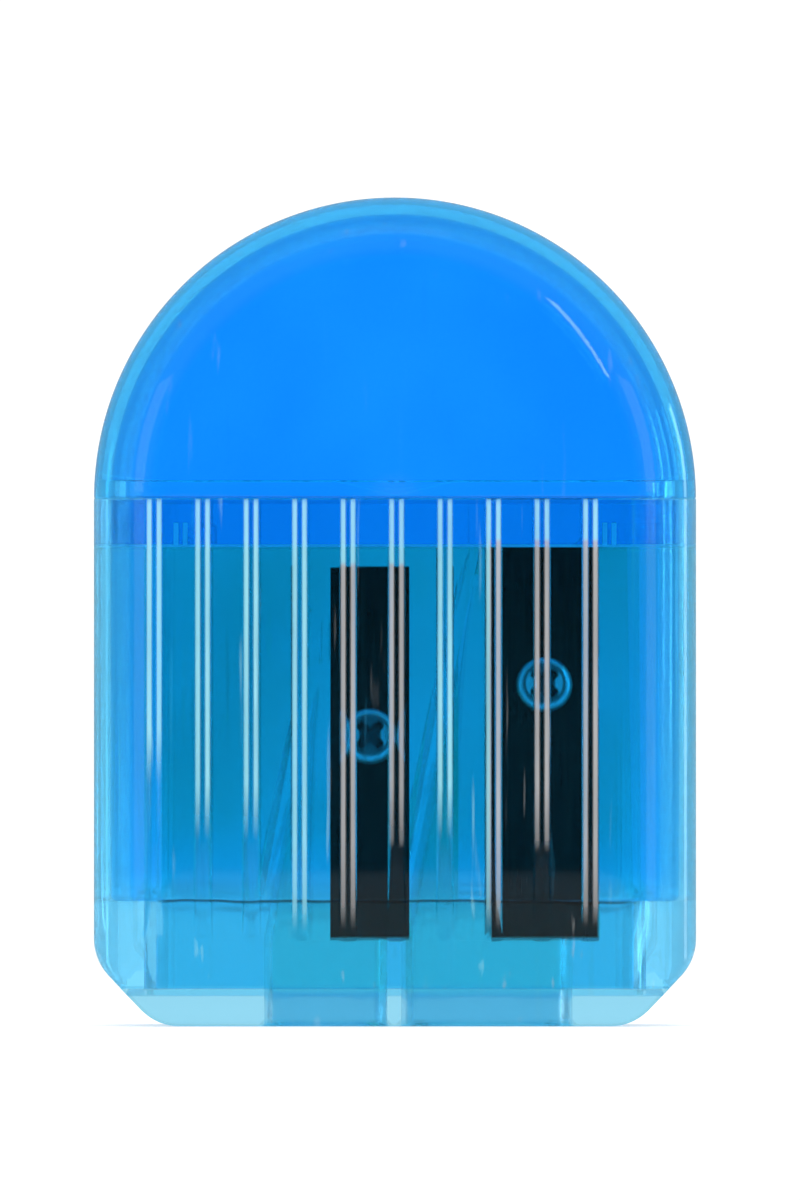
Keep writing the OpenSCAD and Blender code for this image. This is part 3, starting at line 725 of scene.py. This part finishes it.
def makeBlock(size):
    # the CAD shape with its loose triangles joined and its cones smooth
    # (thin triangles hold the bevel far below its set width, so the edges stay nearly sharp)
    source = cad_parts["sharpener_block"]
    points = np.empty(len(source.data.vertices) * 3)
    source.data.vertices.foreach_get("co", points)
    matrix = np.array(source.matrix_world)
    points = points.reshape(-1, 3) @ matrix[:3, :3].T + matrix[:3, 3]
    corners = np.empty(len(source.data.loops), np.int64)
    source.data.loops.foreach_get("vertex_index", corners)
    _, first, back = np.unique(np.round(points / mm * weldPerMm).astype(np.int64), axis=0,
                               return_index=True, return_inverse=True)
    faces = back.reshape(-1)[corners].reshape(-1, 3)
    faces = faces[(faces != np.roll(faces, 1, axis=1)).all(1)]
    mesh = bpy.data.meshes.new("sharpenerBlock")
    mesh.from_pydata(points[first].tolist(), [], faces.tolist())
    mesh.polygons.foreach_set("use_smooth", np.ones(len(mesh.polygons), bool))
    mesh.set_sharp_from_angle(angle=math.radians(size["crease"]))
    mesh.update()
    piece = bpy.data.objects.new("sharpenerBlock", mesh)
    bpy.context.scene.collection.objects.link(piece)
    bevel = piece.modifiers.new("hairBevel", "BEVEL")
    bevel.width, bevel.segments, bevel.limit_method = size["bevel"] * mm, 1, "ANGLE"
    bevel.angle_limit = math.radians(size["crease"])
    print("made sharpenerBlock", len(mesh.polygons), "faces")
    return piece


place(makeBlock(blockSize), "base", "sharpener_block", blockPlastic)


# floor, light and camera

def makeFloor(size):
    # a disc whose rings lie closer near the object, pale and fading out to nothing at its rim
    # (each ring's radius grows with the power 1.5 of its number)
    rings, turns = size["rings"], size["turns"]
    angle = np.linspace(0, 2 * math.pi, turns)[None, :]
    radius = (np.linspace(0, 1, rings) ** 1.5 * size["radius"])[:, None]
    grid = np.stack([radius * np.cos(angle), radius * np.sin(angle), 0 * radius * angle - size["gap"]], -1)
    points = grid.reshape(-1, 3) * mm
    mesh = bpy.data.meshes.new("floor")
    mesh.from_pydata(points.tolist(), [], gridFaces(rings, turns)[:, ::-1].tolist())
    floor = bpy.data.objects.new("floor", mesh)
    bpy.context.scene.collection.objects.link(floor)
    material, wire, coordinate = newMaterial("floorPaper")
    far = wire.make("ShaderNodeVectorMath", {"operation": "LENGTH"}, {0: coordinate}, "Value")
    below = wire.make("ShaderNodeNewGeometry", None, None, "Backfacing")  # clear when seen from underneath
    fade = (far.ramp(size["fadeFrom"] * mm, size["fadeTo"] * mm) + below).clamped()
    fibres = wire.noise(coordinate, 400.0, 4.0)
    paper = wire.make("ShaderNodeBsdfPrincipled", None, {
        "Base Color": fibres.mixColour(rgba((0.6, 0.605, 0.61)), rgba((0.63, 0.63, 0.63))), "Roughness": 0.8,
        "Emission Color": rgba((1.0, 1.0, 1.0)), "Emission Strength": size["glow"]})
    clear = wire.make("ShaderNodeBsdfTransparent")
    finishMaterial(wire, wire.make("ShaderNodeMixShader", None, {0: fade, 1: paper, 2: clear}))
    floor.data.materials.append(material)
    floor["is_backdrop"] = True


makeFloor({"radius": 320.0, "rings": 20, "turns": 97, "gap": 0.02, "fadeFrom": 60.0, "fadeTo": 300.0, "glow": 0.5})


def makeWorld(look):
    # a white studio with a dark opening where the camera stands, for reflections only:
    # what is seen straight, or straight through the plastic, is the white backdrop
    world = bpy.data.worlds.new("studio")
    bpy.context.scene.world = world
    world.use_nodes = True
    tree = world.node_tree
    tree.nodes.clear()
    wire = Wire(tree)
    direction = wire.make("ShaderNodeTexCoord", None, None, "Generated")
    facing = wire.make("ShaderNodeVectorMath", {"operation": "DOT_PRODUCT"}, {0: direction, 1: (0, -1, 0)}, "Value")
    opening = facing.ramp(look["openFrom"], look["openTo"])
    glossyDepth = wire.make("ShaderNodeLightPath", None, None, "Glossy Depth")
    diffuseDepth = wire.make("ShaderNodeLightPath", None, None, "Diffuse Depth")
    through = wire.make("ShaderNodeLightPath", None, None, "Transmission Depth")
    mirrored = glossyDepth.clamped() * (1.0 - through).clamped()
    colour = (opening * mirrored).mixColour(rgba(look["white"]), rgba(look["dark"]))
    strength = look["strength"] + look["softGain"] * diffuseDepth.clamped() - look["mirrorDrop"] * mirrored
    background = wire.make("ShaderNodeBackground", None, {"Color": colour, "Strength": strength})
    output = tree.nodes.new("ShaderNodeOutputWorld")
    tree.links.new(background.socket, output.inputs["Surface"])


makeWorld({"white": (1.0, 1.0, 1.0), "dark": (0.03, 0.035, 0.04), "strength": 1.1, "softGain": 0.3, "mirrorDrop": 0.6,
           "openFrom": 0.55, "openTo": 0.8})


def softbox(name, towards, width, height, radiance, centre, distance=0.5):
    # an area light on a sphere round the object, looking at it; its power comes from the wanted radiance
    data = bpy.data.lights.new(name, "AREA")
    data.shape, data.size, data.size_y = "RECTANGLE", width, height
    data.energy = radiance * math.pi * width * height
    lamp = bpy.data.objects.new(name, data)
    bpy.context.scene.collection.objects.link(lamp)
    direction = mathutils.Vector(towards).normalized()
    lamp.location = centre + direction * distance
    lamp.rotation_mode = "QUATERNION"
    lamp.rotation_quaternion = direction.to_track_quat("Z", "Y")


low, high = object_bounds()
middle = (low + high) / 2
softbox("keyStrip", (0.565, -0.656, 0.52), 0.035, 0.17, 10.0, middle)
softbox("topBox", (0.0, -0.18, 0.98), 0.2, 0.1, 0.4, middle)
softbox("leftBox", (-0.87, -0.5, 0.2), 0.12, 0.25, 1.6, middle)
softbox("rightBox", (0.87, -0.5, 0.2), 0.12, 0.25, 1.6, middle)
softbox("rimBox", (0.85, 0.52, 0.05), 0.06, 0.25, 4.0, middle)


def makeCamera(view):
    # level and straight on, far away, framed so that the object fills the wanted part of an image 1200 tall
    data = bpy.data.cameras.new("camera")
    camera = bpy.data.objects.new("camera", data)
    bpy.context.scene.collection.objects.link(camera)
    tall = (high.z - low.z) * view["imageTall"] / view["objectTall"]
    data.sensor_width = 36.0
    data.lens = data.sensor_width * view["distance"] / tall
    unit = tall / view["imageTall"]
    camera.location = (middle.x + view["right"] * unit, -view["distance"], low.z + view["below"] * unit)
    camera.rotation_euler = (math.pi / 2, 0, 0)
    data.clip_start, data.clip_end = 0.01, 10
    bpy.context.scene.camera = camera


makeCamera({"distance": 2.4, "imageTall": 1200, "objectTall": 827, "right": 5, "below": 425})
bpy.context.scene.view_settings.view_transform = "Standard"
print("light and camera ready")
